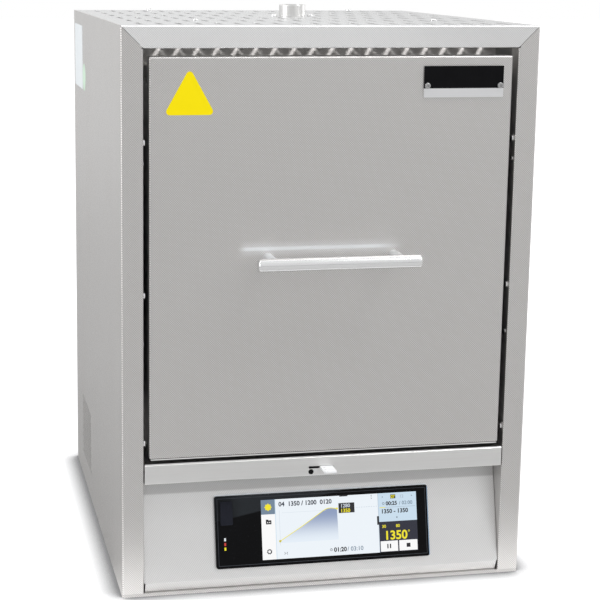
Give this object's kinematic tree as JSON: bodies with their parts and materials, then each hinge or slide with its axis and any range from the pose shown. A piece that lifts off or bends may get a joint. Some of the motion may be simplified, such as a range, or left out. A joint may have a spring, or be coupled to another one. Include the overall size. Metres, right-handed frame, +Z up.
{
  "type": "muffle furnace",
  "caption": "Compact laboratory muffle furnace with a parallel-guided lift door, leaning touch controller, air inlet lever, roof vents and an exhaust stub.",
  "frame": {"origin": "centre of the housing on the underside of the base pan", "axes": "+Z up, the front with the door faces -Y, +X to the right seen from the front"},
  "size_m": [0.385, 0.4664, 0.537],
  "materials": {
    "housing_steel": "fine diamond-textured stainless sheet, satin",
    "inner_steel": "plain stainless sheet",
    "smooth_steel": "smooth ground stainless steel",
    "bright_metal": "bright turned steel",
    "handle_steel": "fine ground stainless steel",
    "insulation_fibre": "matt white fibre board",
    "dense_ceramic": "smooth fired alumina",
    "element_disilicide": "grey, lightly glazed",
    "strap_aluminium": "satin",
    "core_iron": "stacked laminations, varnished",
    "coil_tape": "wound and taped",
    "grey_plastic": "matt moulded",
    "black_plastic": "matt moulded",
    "rocker_plastic": "gloss moulded",
    "black_rubber": "soft matt",
    "black_glass": "opaque black printed on its back, gloss front",
    "display": "lit screen",
    "plate_black": "gloss black with a bare silver strip"
  },
  "bodies": {
    "cabinet": {"air_inlet_pipe": "dense_ceramic", "air_slide_guide": "inner_steel", "base_pan": "housing_steel", "casing_lid": "inner_steel", "connection_straps": "strap_aluminium", "control_panel": "housing_steel", "controller_housing": "black_plastic", "display_module": "display", "element_holders": "dense_ceramic", "exhaust_duct": "dense_ceramic", "exhaust_stub": "smooth_steel", "fan_frame": "black_plastic", "front_inner_panel": "inner_steel", "hearth_plate": "dense_ceramic", "heat_sink": "strap_aluminium", "heating_elements": "element_disilicide", "housing_screws": "bright_metal", "inlet_pins": "bright_metal", "inner_casing": "inner_steel", "inner_cover": "inner_steel", "insulation_floor": "insulation_fibre", "insulation_left": "insulation_fibre", "insulation_rear": "insulation_fibre", "insulation_right": "insulation_fibre", "insulation_roof": "insulation_fibre", "linkage_plate_left": "smooth_steel", "linkage_plate_right": "smooth_steel", "opening_collar": "insulation_fibre", "power_inlet": "black_plastic", "rear_panel": "housing_steel", "roof_panel": "housing_steel", "side_panel_left": "housing_steel", "side_panel_right": "housing_steel", "sill_panel": "smooth_steel", "solid_state_relay": "grey_plastic", "switch_bezel": "black_plastic", "terminal_block": "grey_plastic", "thermocouple_head": "grey_plastic", "thermocouple_sheath": "dense_ceramic", "touch_panel": "black_glass", "transformer_coil": "coil_tape", "transformer_core": "core_iron", "usb_socket": "bright_metal"},
    "upper_arms": {"cross_shaft": "bright_metal", "upper_arms": "smooth_steel"},
    "lower_arms": {"lower_arms": "smooth_steel"},
    "door": {"door_pan": "housing_steel", "door_back_plate": "inner_steel", "door_brackets": "smooth_steel", "door_insulation": "insulation_fibre", "door_plug": "insulation_fibre", "handle_bar": "handle_steel", "handle_posts": "handle_steel", "name_plate": "plate_black", "name_plate_screws": "bright_metal"},
    "air_slide": {"air_slide": "smooth_steel"},
    "usb_flap": {"usb_cover": "black_rubber"},
    "fan_rotor": {"fan_rotor": "black_plastic"},
    "rocker": {"switch_rocker": "rocker_plastic"}
  },
  "joints": [
    {"name": "lift", "type": "hinge", "parent": "cabinet", "child": "upper_arms", "pos_m": [0, -0.134, 0.45], "axis": [-1, 0, 0], "range_deg": [0, 95]},
    {"name": "door_carry", "type": "hinge", "parent": "upper_arms", "child": "door", "pos_m": [0, -0.18499, 0.29308], "axis": [-1, 0, 0], "range_deg": [-95, 0]},
    {"name": "lower_lift", "type": "hinge", "parent": "cabinet", "child": "lower_arms", "pos_m": [0, -0.134, 0.33], "axis": [-1, 0, 0], "range_deg": [0, 95]},
    {"name": "air_lever", "type": "slide", "parent": "cabinet", "child": "air_slide", "axis": [1, 0, 0], "range_m": [-0.01, 0]},
    {"name": "usb_hinge", "type": "hinge", "parent": "cabinet", "child": "usb_flap", "pos_m": [-0.0988, -0.20103, 0.07173], "axis": [0, -0.2385, -0.9711], "range_deg": [0, 110]},
    {"name": "fan_spin", "type": "hinge", "parent": "cabinet", "child": "fan_rotor", "pos_m": [-0.1, 0.1995, 0.075], "axis": [0, 1, 0], "continuous": true},
    {"name": "mains_switch", "type": "hinge", "parent": "cabinet", "child": "rocker", "pos_m": [0.08, 0.2065, 0.06], "axis": [1, 0, 0], "range_deg": [0, 16]}
  ],
  "couplings": [
    {"joint": "door_carry", "follows": "lift", "ratio": -1},
    {"joint": "lower_lift", "follows": "lift", "ratio": 1}
  ]
}
